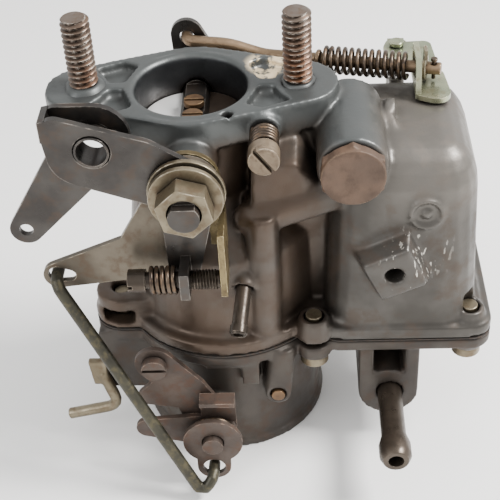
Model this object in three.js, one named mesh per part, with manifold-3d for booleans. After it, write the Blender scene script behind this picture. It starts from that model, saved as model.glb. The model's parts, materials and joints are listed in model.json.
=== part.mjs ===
// Single-barrel downdraft carburetor with manual choke, standing on its air horn with its flange up.
// Millimetres. X runs along the stud line towards the float bowl, Y away from the throttle lever side,
// Z up. The pieces are laid out from the throttle bore's axis, with z = 0 on the flange face, and the
// finished group is moved so that the origin lies under the middle of the whole carburetor.
import * as THREE from "three";
import { mergeVertices } from "three/addons/utils/BufferGeometryUtils.js";
import { ConvexGeometry } from "three/addons/geometries/ConvexGeometry.js";
import Module from "manifold-3d";

const wasm = await Module();
wasm.setup();

// ---------- driving dimensions ----------
const GAP = 0.3; // between pieces that touch
const PIVOT_GAP = 0.3; // radial clearance of a pin in its hole

const BORE_R = 15; // throttle bore
const STUD_X = 28.5; // half the stud spacing
const STUD_R = 3.9;
const STUD_HEIGHT = 20.5;
const FLANGE_T = 9;
const FLANGE_MID_R = 20;
const FLANGE_END_R = 10.8;
const NECK_R = 18.4;
const PLATE_T = 1.4; // throttle and choke plates
const SHEET_T = 1.8; // levers

const SHAFT_Z = -12; // throttle shaft, below the flange face
const SHAFT_R = 4;
const SHAFT_BOSS_R = 7.2;
const SHAFT_FRONT = -44; // end of the threaded nose
const SHAFT_BACK = 33;
const FRONT_BOSS_Y = -25.5;
const BACK_BOSS_Y = 24;

const AIR_X = 6; // axis of the mixing chamber and the air horn
const AIR_Y = -1;
const CHAMBER_R = 27.4;
const AIR_R = 27;
const AIR_BORE_R = 23;
const SPLIT_R = 31.2; // round part of the joint flange
const SPLIT_Z = -70; // joint face of the main casting
const SPLIT_T = 3.8;
const GASKET_T = 0.4;
const COVER_Z = SPLIT_Z - GASKET_T - 2 * GAP; // joint face of the cover
const COVER_T = 3.6;
const RIM_Z = -112; // mouth of the air horn

const BOWL = { x0: 36.5, x1: 76, y0: -23.5, y1: 23.5, top: -11, wall: 2.6, corner: 10, shoulder: 14 };
const BOWL_DRAFT = 1.8; // growth of the bowl from top to joint face
const LIP = { x0: 33, x1: 82, y0: -26.5, y1: 27, corner: 6 }; // joint flange round the bowl

const CHOKE = { x: 1.5, z: -94, shaftR: 3, plateR: 22, front: -45, back: 30 };
const INLET = { x: 53.5, z: -93, r: 3.6, boreR: 2.2, end: -52, needleY: -4 };
const EAR_HOLE = { x: 53.2, z: -43.4, r: 2.6 }; // tapped hole in the bowl's front boss
const WELL = { x: 17.6, y: -24.9, r: 1.9, top: -44 }; // emulsion tube
const BLEED = { x: 20.6, z: -86.8, r: 2 }; // plugged air bleed
const FLOAT_PIN = { x: 41, z: -65, r: 1.1, half: 9.4 };
const PUMP = { x: 52, z: -37, r: 16.5, boreR: 12, buttonR: 3 };
const PUMP_PIVOT = { x: 57.2, y: 32.4, r: 1.1, earR: 2.7 };
const PUMP_ROD = { y: 25.8, r: 1.8 };
const ROD_HOOK = { x: -3, z: -1.5 }; // where the pump rod hooks into the rear lever
const REAR_LEVER_Y = 28.4;
const PLUG = { x: 42, z: -12.4, r: 8.5, bossR: 9.3, bossY: -24.2, threadR: 5.2 };

const SCREW = { r: 2.4, headR: 4.2, headT: 3, holeR: 2.8, bossR: 5.2 };
const COVER_SCREWS = [
  [75.5, -20.6],
  [31.4, -23.4],
  [75.5, 21],
  [31, 22.5],
  [-24.5, -11.5],
];

const LEVER_Y = -29.9; // back of the throttle lever's front plate
const LEVER_HUB_R = 7.6;
const CABLE_EYE = { x: -22.5, z: 0.2, r: 4.8 };
const IDLE = { y: -36.2, z: -37.7, r: 2.3, headR: 3.1, springR: 3.9 };
const FAST_EYE = { x: -37.5, z: -40.5, r: 2.5 };
const LINK_R = 1.8;
const CHOKE_EYE = { x: 1.3, z: -104.5, r: 3.3 };

// ---------- solids ----------
function solidOf(geometry) {
  const bare = geometry.clone();
  for (const name of ["normal", "uv"]) bare.deleteAttribute(name);
  const merged = mergeVertices(bare, 1e-4);
  const vertProperties = merged.attributes.position.array;
  const triVerts = new Uint32Array(merged.index.array);
  return new wasm.Manifold(new wasm.Mesh({ numProp: 3, vertProperties, triVerts }));
}

function geometryOf(solid) {
  const { vertProperties, triVerts } = solid.getMesh();
  const geometry = new THREE.BufferGeometry();
  geometry.setAttribute("position", new THREE.Float32BufferAttribute(vertProperties, 3));
  geometry.setIndex(new THREE.Uint32BufferAttribute(triVerts, 1));
  return geometry;
}

const join = (...parts) => geometryOf(parts.map(solidOf).reduce((a, b) => a.add(b)));
const cut = (body, ...tools) =>
  geometryOf(tools.map(solidOf).reduce((a, b) => a.subtract(b), solidOf(body)));

function block(x0, x1, y0, y1, z0, z1) {
  const box = new THREE.BoxGeometry(x1 - x0, y1 - y0, z1 - z0);
  return box.translate((x0 + x1) / 2, (y0 + y1) / 2, (z0 + z1) / 2);
}

function cylZ(x, y, r, z0, z1, sides = 24, rTop = r) {
  const rod = new THREE.CylinderGeometry(rTop, r, z1 - z0, sides).rotateX(Math.PI / 2);
  return rod.translate(x, y, (z0 + z1) / 2);
}

function cylY(x, z, r, y0, y1, sides = 24, rFar = r) {
  return new THREE.CylinderGeometry(rFar, r, y1 - y0, sides).translate(x, (y0 + y1) / 2, z);
}

function cylX(y, z, r, x0, x1, sides = 20, rFar = r) {
  const rod = new THREE.CylinderGeometry(rFar, r, x1 - x0, sides).rotateZ(-Math.PI / 2);
  return rod.translate((x0 + x1) / 2, y, z);
}

const ringY = (x, z, r, bore, y0, y1, sides = 24) =>
  cut(cylY(x, z, r, y0, y1, sides), cylY(x, z, bore, y0 - 1, y1 + 1, sides));
const ringX = (y, z, r, bore, x0, x1, sides = 16) =>
  cut(cylX(y, z, r, x0, x1, sides), cylX(y, z, bore, x0 - 1, x1 + 1, sides));
const ringZ = (x, y, r, bore, z0, z1, sides = 32) =>
  cut(cylZ(x, y, r, z0, z1, sides), cylZ(x, y, bore, z0 - 1, z1 + 1, sides));

// The outline of a belt round circles [x, y, r], given counterclockwise.
function belt(circles) {
  const normals = circles.map(([x, y, r], i) => {
    const [nx, ny, nr] = circles[(i + 1) % circles.length];
    const heading = Math.atan2(ny - y, nx - x);
    return heading - Math.PI / 2 + Math.asin((r - nr) / Math.hypot(nx - x, ny - y));
  });
  const shape = new THREE.Shape();
  circles.forEach(([x, y, r], i) => {
    const from = normals[(i + circles.length - 1) % circles.length];
    let to = normals[i];
    while (to < from) to += 2 * Math.PI;
    shape.absarc(x, y, r, from, to, false);
  });
  return shape;
}

const between = ([ax, ay, ar], [bx, by, br]) => belt([[ax, ay, ar], [bx, by, br]]);

function plateZ(shape, z0, z1, segments = 8) {
  const options = { depth: z1 - z0, bevelEnabled: false, curveSegments: segments };
  return new THREE.ExtrudeGeometry(shape, options).translate(0, 0, z0);
}

// A plate whose outline is drawn in x and z.
function plateY(shape, y0, y1, segments = 8) {
  const options = { depth: y1 - y0, bevelEnabled: false, curveSegments: segments };
  return new THREE.ExtrudeGeometry(shape, options).rotateX(Math.PI / 2).translate(0, y1, 0);
}

// A round bar along corner points, each inner corner rounded by a radius.
function bar(points, r, bend, steps, sides = 5) {
  const corners = points.map((p) => new THREE.Vector3(...p));
  const path = new THREE.CurvePath();
  let last = corners[0];
  for (let i = 1; i < corners.length - 1; i++) {
    const toPrevious = corners[i - 1].clone().sub(corners[i]);
    const toNext = corners[i + 1].clone().sub(corners[i]);
    const reach = Math.min(bend, 0.49 * toPrevious.length(), 0.49 * toNext.length());
    const start = corners[i].clone().addScaledVector(toPrevious.normalize(), reach);
    const end = corners[i].clone().addScaledVector(toNext.normalize(), reach);
    path.add(new THREE.LineCurve3(last, start));
    path.add(new THREE.QuadraticBezierCurve3(start, corners[i], end));
    last = end;
  }
  path.add(new THREE.LineCurve3(last, corners[corners.length - 1]));
  const section = new THREE.Shape().absarc(0, 0, r, 0, 2 * Math.PI, false);
  const options = { steps, extrudePath: path, curveSegments: sides };
  return new THREE.ExtrudeGeometry(section, options);
}

// A straight tube or bar between two points.
function strut(from, to, r, sides = 14) {
  const a = new THREE.Vector3(...from);
  const b = new THREE.Vector3(...to);
  const rod = new THREE.CylinderGeometry(r, r, a.distanceTo(b), sides);
  const turn = new THREE.Quaternion();
  turn.setFromUnitVectors(new THREE.Vector3(0, 1, 0), b.clone().sub(a).normalize());
  return rod.applyQuaternion(turn).translate(...a.add(b).multiplyScalar(0.5).toArray());
}

function hull(...lists) {
  return new ConvexGeometry(lists.flat().map((p) => new THREE.Vector3(...p)));
}

function circlePoints(x, y, z, r, count = 32) {
  return Array.from({ length: count }, (_, i) => {
    const a = (2 * Math.PI * i) / count;
    return [x + r * Math.cos(a), y + r * Math.sin(a), z];
  });
}

const cylPoints = (x, z, r, y, count = 16) =>
  circlePoints(x, z, 0, r, count).map(([px, pz]) => [px, y, pz]);

// A quarter of a ball's surface stacked as rings, for the rounded top of a hull.
function domePoints(x, y, z, r, rings = 3, rise = r) {
  return Array.from({ length: rings + 1 }, (_, i) => {
    const a = ((Math.PI / 2) * i) / rings;
    return circlePoints(x, y, z + rise * Math.sin(a), Math.max(r * Math.cos(a), 0.01), 16);
  }).flat();
}

// The four corners of a rectangle inset by r, for rounding.
const inset = ({ x0, x1, y0, y1 }, r) => [
  [x0 + r, y0 + r],
  [x1 - r, y0 + r],
  [x1 - r, y1 - r],
  [x0 + r, y1 - r],
];

// ---------- castings ----------
const flangeOutline = () =>
  belt([
    [-STUD_X, 0, FLANGE_END_R],
    [0, 0, FLANGE_MID_R],
    [STUD_X, 0, FLANGE_END_R],
    [0, 0, FLANGE_MID_R],
  ]);

// One of four casting pockets between the bore's ring and a stud boss.
function pocket(sideX, sideY) {
  const corners = [[18.2, 1.6], [22, 1.6], [23.6, 5.4], [26.6, 9.2], [19.2, 12.6], [15, 10.4]];
  const placed = corners.map(([x, y]) => new THREE.Vector2(sideX * x, sideY * y));
  if (sideX * sideY < 0) placed.reverse();
  return plateZ(new THREE.Shape(placed), -2.6, 1);
}

// A shallow gasket groove beside the bore.
function groove(middle) {
  const half = 0.62;
  const shape = new THREE.Shape();
  shape.absarc(0, 0, BORE_R + 3.3, middle - half, middle + half, false);
  shape.absarc(0, 0, BORE_R + 2.2, middle + half, middle - half, true);
  return plateZ(shape, -0.7, 1, 10);
}

const lipOutline = (grow = 0) =>
  belt(inset(LIP, LIP.corner).map(([x, y]) => [x, y, LIP.corner + grow]));
const earOutline = () => between([-24.5, -11.5, 8.2], [4, -6, 14]);

// The joint flange between the castings, as a plate from z0 to z1.
const jointFlange = (z0, z1) =>
  join(
    plateZ(lipOutline(), z0, z1, 5),
    cylZ(AIR_X, AIR_Y, SPLIT_R, z0, z1, 48),
    plateZ(earOutline(), z0, z1),
  );

function bowlShell(shrink) {
  const r = BOWL.corner - shrink * 0.6;
  const rise = BOWL.shoulder - shrink;
  const top = {
    x0: BOWL.x0 + shrink,
    x1: BOWL.x1 - shrink,
    y0: BOWL.y0 + shrink,
    y1: BOWL.y1 - shrink,
  };
  const foot = {
    x0: top.x0 - BOWL_DRAFT,
    x1: top.x1 + BOWL_DRAFT,
    y0: top.y0 - BOWL_DRAFT,
    y1: top.y1 + BOWL_DRAFT,
  };
  const footZ = shrink ? SPLIT_Z - 1 : SPLIT_Z + 1;
  return hull(
    inset(top, r).flatMap(([x, y]) => domePoints(x, y, BOWL.top - shrink - rise, r, 5, rise)),
    inset(foot, r).flatMap(([x, y]) => circlePoints(x, y, footZ, r, 16)),
  );
}

// The turned square boss for a tapped hole on the bowl's front face.
function bracketBoss() {
  const square = (half, y) =>
    [[-half, half], [half, half], [half, -half], [-half, -half]].map(([u, v]) => {
      const turn = 0.43;
      const x = EAR_HOLE.x + u * Math.cos(turn) - v * Math.sin(turn);
      return [x, y, EAR_HOLE.z + u * Math.sin(turn) + v * Math.cos(turn)];
    });
  return hull(square(6.5, -30.4), square(8.4, -23));
}

// Narrow column with the emulsion well, the sloping gallery above it that runs into the bowl, and the
// square block of the slow running passages under the mixture screw.
function jetColumn() {
  return join(
    hull(
      circlePoints(18, -23.4, -26, 4.6, 16),
      circlePoints(WELL.x, WELL.y + 0.6, SPLIT_Z + 1, 4.6, 16),
      circlePoints(18, -12, -26, 4.6, 16),
      circlePoints(WELL.x, -12, SPLIT_Z + 1, 4.6, 16),
    ),
    hull(
      domePoints(14.6, -21.8, -28.6, 4.4),
      circlePoints(15.4, -21, -33, 3.8, 16),
      domePoints(37, -18, -22.5, 4.6),
      circlePoints(37, -18, -27, 4, 16),
    ),
    hull(
      [[16, -21.6, -12.5], [27.5, -21.6, -12], [33, -20, -19.5], [15, -23.6, -27], [31, -22.4, -25]],
      [[16, -9, -9], [28, -9, -9], [33, -9, -18], [15, -9, -28], [33, -9, -28]],
    ),
  );
}

const NIPPLE_ROOT = [12.8, -25.6, -47];
const NIPPLE_TIP = [10.9, -40, -54.6];
const alongNipple = (t) => NIPPLE_ROOT.map((v, i) => v + t * (NIPPLE_TIP[i] - v));

// An oval lug that stands on the bowl's shoulder, with a blind slot in its left side.
const LUG = { x0: 51.6, x1: 54.4, y0: -8.4, z0: -14.2, y1: 0.6, z1: -10.4 };
function slottedLug(r, x0, x1) {
  const oval = (x) =>
    [[LUG.y0, LUG.z0], [LUG.y1, LUG.z1]].flatMap(([y, z]) =>
      circlePoints(y, z, 0, r, 16).map(([py, pz]) => [x, py, pz]),
    );
  return hull(oval(x0), oval(x1));
}

const MIXTURE = { x: 19.6, z: -5.5, bossR: 4.5, bossY: -16, r: 2, springR: 3.9, headR: 4.1, end: -29.8 };

function mainBody() {
  const outside = join(
    plateZ(flangeOutline(), -FLANGE_T, 0, 12),
    cylZ(0, 0, NECK_R, -31, -FLANGE_T + 1, 40),
    hull(circlePoints(0, 0, -26, NECK_R, 40), circlePoints(AIR_X, AIR_Y, -41, CHAMBER_R - 1, 40),
      circlePoints(AIR_X, AIR_Y, SPLIT_Z + 2, CHAMBER_R, 40)),
    jointFlange(SPLIT_Z, SPLIT_Z + SPLIT_T),
    bowlShell(0),
    hull(inset(LIP, LIP.corner).flatMap(([x, y]) => circlePoints(x, y, SPLIT_Z + 1, LIP.corner - 0.4, 16)),
      inset(LIP, 9).flatMap(([x, y]) => circlePoints(x, y, SPLIT_Z + 6, 6, 16))),
    block(12, 40, -12, 15, -66, -20),
    block(20, 44, -9, 10, -24, -FLANGE_T + 1),
    cylY(0, SHAFT_Z, SHAFT_BOSS_R, FRONT_BOSS_Y, BACK_BOSS_Y, 28),
    cylY(PLUG.x, PLUG.z, PLUG.bossR, PLUG.bossY, 6, 32),
    bracketBoss(),
    jetColumn(),
    cylY(MIXTURE.x, MIXTURE.z, MIXTURE.bossR, MIXTURE.bossY, -8, 20),
    strut([13.6, -20, -44], alongNipple(0.18), 3.3),
    ...COVER_SCREWS.map(([x, y]) =>
      cylZ(x, y, SCREW.bossR + 0.6, SPLIT_Z + 0.5, SPLIT_Z + 7, 16, SCREW.bossR - 1),
    ),
    plateZ(between([-24.5, -11.5, 7.4], [-8, -9, 9]), SPLIT_Z + 5.2, SPLIT_Z + 9.5),
    cylY(PUMP.x, PUMP.z, PUMP.r, 18, 25.1, 32),
    ringY(61.5, -27.5, 4.6, 3.9, BOWL.y0 - 1.2, BOWL.y0 + 3, 24),
    cylY(61.5, -27.5, 1.2, BOWL.y0 - 1.2, BOWL.y0 + 3, 12),
    slottedLug(3.2, LUG.x0, LUG.x1),
  );
  const lugs = [-1, 1].map((side) => {
    const y = [side * 5.4, side * 8.4].sort((a, b) => a - b);
    return block(BOWL.x0, FLOAT_PIN.x + 2.6, y[0], y[1], FLOAT_PIN.z - 2.4, FLOAT_PIN.z + 3);
  });
  const hollowed = cut(
    outside,
    cylZ(0, 0, BORE_R, -36, 1, 48),
    cylZ(0, 0, BORE_R, -1, 0.1, 48, BORE_R + 1.1),
    hull(circlePoints(0, 0, -33, BORE_R, 48), circlePoints(AIR_X, AIR_Y, -47.5, AIR_BORE_R, 48),
      circlePoints(AIR_X, AIR_Y, SPLIT_Z - 1, AIR_BORE_R, 48)),
    cut(bowlShell(BOWL.wall), cylY(PUMP.x, PUMP.z, PUMP.r - 2.4, 18.6, 26, 24)),
  );
  return cut(
    join(hollowed, ...lugs),
    ...[-1, 1].flatMap((sx) => [-1, 1].map((sy) => pocket(sx, sy))),
    groove(Math.PI / 2),
    groove(-Math.PI / 2),
    cylZ(10.3, -15.4, 1.5, -6, 1, 12),
    slottedLug(1.3, LUG.x0 - 1, LUG.x0 + 1.2),
    ...[-1, 1].map((side) => cylZ(side * STUD_X, 0, STUD_R + GAP, -FLANGE_T - 3, 1)),
    cylY(0, SHAFT_Z, SHAFT_R + PIVOT_GAP, -30, 30, 24),
    cylY(PLUG.x, PLUG.z, PLUG.threadR + GAP, -30, -14, 20),
    cylY(EAR_HOLE.x, EAR_HOLE.z, EAR_HOLE.r, -33, -23.5, 16),
    cylY(MIXTURE.x, MIXTURE.z, MIXTURE.r + GAP, -25, -9.5, 16),
    cylY(MIXTURE.x, MIXTURE.z, MIXTURE.springR + GAP, MIXTURE.end, MIXTURE.bossY, 20),
    cylZ(WELL.x, WELL.y, WELL.r + GAP, SPLIT_Z - 1, WELL.top + 2, 16),
    strut(alongNipple(0.02), alongNipple(0.5), 2.15 + GAP, 12),
    ...COVER_SCREWS.map(([x, y]) => cylZ(x, y, SCREW.holeR, SPLIT_Z - 1, SPLIT_Z + 12, 12)),
    block(-29.5, -20.5, -26, -9, SPLIT_Z + 1.2, SPLIT_Z + 5.4),
    cylY(PUMP.x, PUMP.z, PUMP.boreR, 20.6, 26, 28),
    cylY(FLOAT_PIN.x, FLOAT_PIN.z, FLOAT_PIN.r + PIVOT_GAP, -10, 10, 12),
    hull([[51, 2, -6], [52.2, 2, -6], [55.4, -7, -8], [56.4, -7, -8]],
      [[51, 2, -9.8], [52.2, 2, -9.8], [55.4, -7, -11.6], [56.4, -7, -11.6]]),
  );
}

// Cover with the fuel inlet, the choke housing and the air horn.
// The flat web under the cover's left ear.
const sideWeb = () =>
  new THREE.Shape(
    [
      [-32.6, -84],
      [-34.4, -86],
      [-34.4, -92],
      [-31, -94.6],
      [-11, -95.6],
      [-11, COVER_Z - 1],
      [-32, COVER_Z - 1],
    ].map(([x, z]) => new THREE.Vector2(x, z)),
  );

function airHornCover() {
  const yoke = { x0: INLET.x - 9.2, x1: INLET.x + 8.4, y0: -25, y1: 2 };
  const outside = join(
    jointFlange(COVER_Z - COVER_T, COVER_Z),
    cylZ(AIR_X, AIR_Y, AIR_R, RIM_Z, COVER_Z - 1, 48),
    cylZ(AIR_X, AIR_Y, AIR_R + 1.1, RIM_Z, RIM_Z + 2.4, 48),
    cylY(CHOKE.x, CHOKE.z, 5.6, -32.6, 29, 20),
    ...COVER_SCREWS.map(([x, y]) => cylZ(x, y, SCREW.bossR, COVER_Z - 5.4, COVER_Z - 1, 16)),
    block(yoke.x0, yoke.x0 + 4.4, yoke.y0, yoke.y1, INLET.z, COVER_Z - 1),
    block(yoke.x1 - 4.4, yoke.x1, yoke.y0, yoke.y1, INLET.z, COVER_Z - 1),
    block(yoke.x0, yoke.x1, -15, yoke.y1, INLET.z, COVER_Z - 1),
    cylY(INLET.x - 0.4, INLET.z, 8.8, yoke.y0, yoke.y1, 28),
    hull(circlePoints(BLEED.x + 1.4, -25.4, COVER_Z - 1, 4.2, 16), circlePoints(20, -14, COVER_Z - 1, 6, 16),
      cylPoints(BLEED.x, BLEED.z, 3.7, -31.4), circlePoints(20, -14, -92, 4, 16)),
    block(10.4, 15.4, -31, -20, -82.6, COVER_Z - COVER_T + 0.2),
    cut(
      block(-0.2, 10, -31, -22, -76.4, COVER_Z - 1),
      block(1, 8.8, -32, -24.5, -75.2, COVER_Z - COVER_T - 0.4),
    ),
    plateY(sideWeb(), -19.2, -16.2),
  );
  return cut(
    outside,
    cylY(BLEED.x, BLEED.z, BLEED.r + GAP, -40, -27.4, 14),
    cylZ(AIR_X, AIR_Y, AIR_BORE_R, RIM_Z - 1, COVER_Z + 1, 48),
    cylY(CHOKE.x, CHOKE.z, CHOKE.shaftR + PIVOT_GAP, -40, 40, 16),
    ...COVER_SCREWS.map(([x, y]) => cylZ(x, y, SCREW.holeR, COVER_Z - 9, COVER_Z + 1, 12)),
    cylY(INLET.x, INLET.z, INLET.r + GAP, -30, -12, 20),
    cylY(INLET.x, INLET.z, INLET.boreR, -14, INLET.needleY + 2, 14),
    cylZ(INLET.x, INLET.needleY, 4.5 + GAP, -84, COVER_Z + 1, 20),
    cylZ(INLET.x, INLET.needleY, INLET.boreR, INLET.z, -80, 14),
  );
}

function coverGasket() {
  const z0 = SPLIT_Z - GAP - GASKET_T;
  const z1 = SPLIT_Z - GAP;
  const hole = { x0: LIP.x0 + 6, x1: LIP.x1 - 7, y0: LIP.y0 + 6, y1: LIP.y1 - 6 };
  return cut(
    jointFlange(z0, z1),
    cylZ(AIR_X, AIR_Y, AIR_BORE_R + 0.6, z0 - 1, z1 + 1, 40),
    plateZ(belt(inset(hole, 5).map(([x, y]) => [x, y, 5])), z0 - 1, z1 + 1, 4),
    cylZ(WELL.x, WELL.y, WELL.r + GAP, z0 - 1, z1 + 1, 16),
    ...COVER_SCREWS.map(([x, y]) => cylZ(x, y, SCREW.holeR, z0 - 1, z1 + 1, 12)),
  );
}

function coverScrew([x, y]) {
  const seat = COVER_Z - 5.4 - GAP;
  const head = cylZ(x, y, SCREW.headR, seat - SCREW.headT, seat, 20);
  const slot = block(x - 5, x + 5, y - 0.6, y + 0.6, seat - 4, seat - SCREW.headT + 1.4);
  return cut(join(head, cylZ(x, y, SCREW.r, seat - 1, SPLIT_Z + 7.6, 14)), slot);
}

// ---------- throttle ----------
const stud = (side) => cylZ(side * STUD_X, 0, STUD_R, -FLANGE_T + 0.6, STUD_HEIGHT, 20);

const PLATE_SCREW_Y = [-3.6, 3.6];
const PLATE_SCREW_R = 1.6;

function throttleShaft() {
  const slotT = PLATE_T + 2 * 0.2;
  return cut(
    cylY(0, SHAFT_Z, SHAFT_R, SHAFT_FRONT, SHAFT_BACK, 24),
    block(-9, 9, -BORE_R, BORE_R, SHAFT_Z - slotT / 2, SHAFT_Z + slotT / 2),
    block(-9, 9, -BORE_R, BORE_R, SHAFT_Z + SHAFT_R - 1.2, SHAFT_Z + 9),
    block(-9, 9, SHAFT_FRONT - 1, SHAFT_FRONT + 2.4, SHAFT_Z + SHAFT_R - 1.2, SHAFT_Z + 9),
    ...PLATE_SCREW_Y.map((y) => cylZ(0, y, PLATE_SCREW_R + GAP, SHAFT_Z - 9, SHAFT_Z + 9, 12)),
  );
}

function throttlePlate() {
  const half = PLATE_T / 2;
  return cut(
    cylZ(0, 0, BORE_R - GAP, SHAFT_Z - half, SHAFT_Z + half, 48),
    ...PLATE_SCREW_Y.map((y) => cylZ(0, y, PLATE_SCREW_R + GAP, SHAFT_Z - 2, SHAFT_Z + 2, 12)),
  );
}

function plateScrew(y) {
  const seat = SHAFT_Z + SHAFT_R - 1.2 + GAP;
  return cut(
    join(cylZ(0, y, 2.9, seat, seat + 1.7, 16), cylZ(0, y, PLATE_SCREW_R, SHAFT_Z - 5.2, seat + 1, 12)),
    block(-4, 4, y - 0.4, y + 0.4, seat + 0.8, seat + 3),
  );
}

const shaftHole = (y0, y1) => cylY(0, SHAFT_Z, SHAFT_R + PIVOT_GAP, y0, y1, 20);

// Clevis lever: a front plate, a back plate with the return spring's arm, the bend that joins them, and
// the tail with the screw lug.
function throttleLever() {
  const front = LEVER_Y - SHEET_T;
  const backY = -25.8;
  const bendEnd = (x, z0, z1) =>
    [front, backY + SHEET_T].flatMap((y) => [[x, y, z0], [x, y, z1]]);
  const lug = { x0: -3.4, x1: -0.9 };
  const eye = (y0, y1) => cylY(CABLE_EYE.x, CABLE_EYE.z, CABLE_EYE.r, y0, y1, 24);
  return cut(
    join(
      plateY(belt([[-31, 6, 3.8], [-25, -1, 9], [0, SHAFT_Z, LEVER_HUB_R], [-12, -4.6, 8]]), front, LEVER_Y),
      plateY(between([-31, 6, 3.8], [-22.4, 0.8, 8.9]), backY, backY + SHEET_T),
      plateY(between([-26.5, -5.2, 8], [-44.5, -28, 4.4]), backY, backY + SHEET_T),
      hull(bendEnd(-34.8, 3.2, 9), bendEnd(-33, 3, 9.4)),
      plateY(between([0, SHAFT_Z, LEVER_HUB_R], [-2.6, -38, 4.2]), front, LEVER_Y),
      block(lug.x0, lug.x1, IDLE.y - 3.8, LEVER_Y, IDLE.z - 3.9, IDLE.z + 4.4),
    ),
    eye(-40, -20),
    cylY(-44.5, -28, 1.9, -30, -20, 16),
    shaftHole(-40, -20),
    cylX(IDLE.y, IDLE.z, IDLE.r + GAP, -8, 3, 16),
  );
}

const cableBush = () =>
  ringY(CABLE_EYE.x, CABLE_EYE.z, CABLE_EYE.r - GAP, CABLE_EYE.r - 1, -32.2, -23.7);

function rearThrottleLever() {
  const arm = between([0, SHAFT_Z, 7], [ROD_HOOK.x, ROD_HOOK.z + 0.6, 4.6]);
  return cut(
    join(
      plateY(arm, REAR_LEVER_Y, REAR_LEVER_Y + SHEET_T),
      cylY(0, SHAFT_Z, 6.4, BACK_BOSS_Y + GAP, REAR_LEVER_Y + 0.5, 24),
    ),
    shaftHole(20, 40),
    cylY(ROD_HOOK.x, ROD_HOOK.z, PUMP_ROD.r + PIVOT_GAP, 20, 40, 14),
  );
}

function hexNut() {
  const hexagon = new THREE.CylinderGeometry(7.5, 7.5, 5.6, 6).rotateY(0.82);
  return cut(hexagon.translate(0, -39.4, SHAFT_Z), shaftHole(-50, -30));
}

// Bracket fixed to the shaft boss, whose bent edge stops the idle screw.
function idleStopPlate() {
  return cut(
    join(
      plateY(between([0, SHAFT_Z, 8.2], [6.4, -27, 2.6]), -27.5, -25.8),
      block(4.6, 9, -27.5, -25.8, -33, -25),
      block(7.3, 9, -39.4, -25.8, -33, -21),
      block(7.3, 9, -39.4, -28.9, -41.2, -30),
    ),
    shaftHole(-40, -20),
  );
}

function fastIdleLever() {
  return cut(
    join(
      plateY(between([0, SHAFT_Z, 8], [-12.4, -32.5, 7.6]), -29.5, -27.9),
      plateY(between([-14.5, -35, 7.4], [-37.2, -41, 4.2]), -29.5, -27.9),
    ),
    shaftHole(-40, -20),
    plateY(between([FAST_EYE.x, FAST_EYE.z, FAST_EYE.r], [-34.4, -41, 1.9]), -40, -20, 6),
  );
}

function idleScrew() {
  const head = cylX(IDLE.y, IDLE.z, IDLE.headR, -17.2, -12.6, 18);
  const slot = block(-18, -16, IDLE.y - 5, IDLE.y + 5, IDLE.z - 0.5, IDLE.z + 0.5);
  return cut(join(head, cylX(IDLE.y, IDLE.z, IDLE.r, -13, 6.9, 16)), slot);
}

function mixtureScrew() {
  const { x, z, r, headR, end } = MIXTURE;
  const tip = cylY(x, z, r, -12.6, -10.6, 14, 0.4);
  const slot = block(x - 5, x + 5, end - 1, end + 1.4, z - 0.5, z + 0.5).translate(-x, 0, -z);
  return cut(
    join(cylY(x, z, headR, end, end + 5, 20), cylY(x, z, r, end + 1, -12.6, 14), tip),
    slot.rotateY(0.94).translate(x, 0, z),
  );
}

function linkRod() {
  return bar(
    [
      [FAST_EYE.x, -26.6, FAST_EYE.z],
      [FAST_EYE.x, -33.4, FAST_EYE.z],
      [-2.4, -48.6, -109.6],
      [CHOKE_EYE.x, -47.4, CHOKE_EYE.z],
      [CHOKE_EYE.x, -41.2, CHOKE_EYE.z],
    ],
    LINK_R, 3, 48,
  );
}

// ---------- fuel pieces ----------
function mainJetPlug() {
  const hexagon = new THREE.CylinderGeometry(PLUG.r + 0.7, PLUG.r + 0.7, 2.4, 6);
  return join(
    hexagon.translate(PLUG.x, -25.9, PLUG.z),
    cylY(PLUG.x, PLUG.z, PLUG.r - 0.1, -28.2, -25, 32),
    cylY(PLUG.x, PLUG.z, PLUG.threadR, -25, -18, 16),
  );
}

const mainJet = () => ringY(PLUG.x, PLUG.z, 3.2, 0.8, -17.4, -14.3, 14);

function vacuumNipple() {
  const body = join(
    strut(alongNipple(0.05), NIPPLE_TIP, 2.15),
    strut(alongNipple(0.84), alongNipple(0.97), 2.5),
  );
  return cut(body, strut(alongNipple(0.1), alongNipple(1.1), 1.5, 12));
}

function venturi() {
  const profile = [[22.4, 50], [22.4, 62], [18, 62], [12.6, 56.5], [12.4, 54], [15.5, 50]];
  const points = profile.reverse().map(([r, z]) => new THREE.Vector2(r, -z));
  points.push(points[0].clone());
  const ring = new THREE.LatheGeometry(points, 36).rotateX(Math.PI / 2);
  return ring.translate(AIR_X, AIR_Y, 0);
}

const dischargeNozzle = () =>
  cut(
    join(
      strut([AIR_X, AIR_Y - 22.5, -64.8], [AIR_X, AIR_Y, -64.8], 1.8),
      cylZ(AIR_X, AIR_Y, 4, -66.6, -58, 16),
    ),
    cylZ(AIR_X, AIR_Y, 2.8, -70, -50, 14),
  );

const emulsionTube = () =>
  cut(cylZ(WELL.x, WELL.y, WELL.r, -69.4, WELL.top, 14), cylZ(WELL.x, WELL.y, 1.1, -70, WELL.top - 2, 10));
const bleedPlug = () => cylY(BLEED.x, BLEED.z, BLEED.r, -31.9, -27.8, 16);

function fuelInlet() {
  const { x, z, r, boreR, end } = INLET;
  const body = join(
    cylY(x, z, r, end + 2, -14.6, 20),
    cylY(x, z, r, end + 8, end + 10, 20, r),
    cylY(x, z, r + 1, end + 2, end + 6, 20),
    cylY(x, z, r + 1, end + 6, end + 9.5, 20, r),
    cylY(x, z, r, end, end + 2, 20, r + 1),
  );
  return cut(body, cylY(x, z, boreR, end - 1, -14, 16));
}

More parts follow.
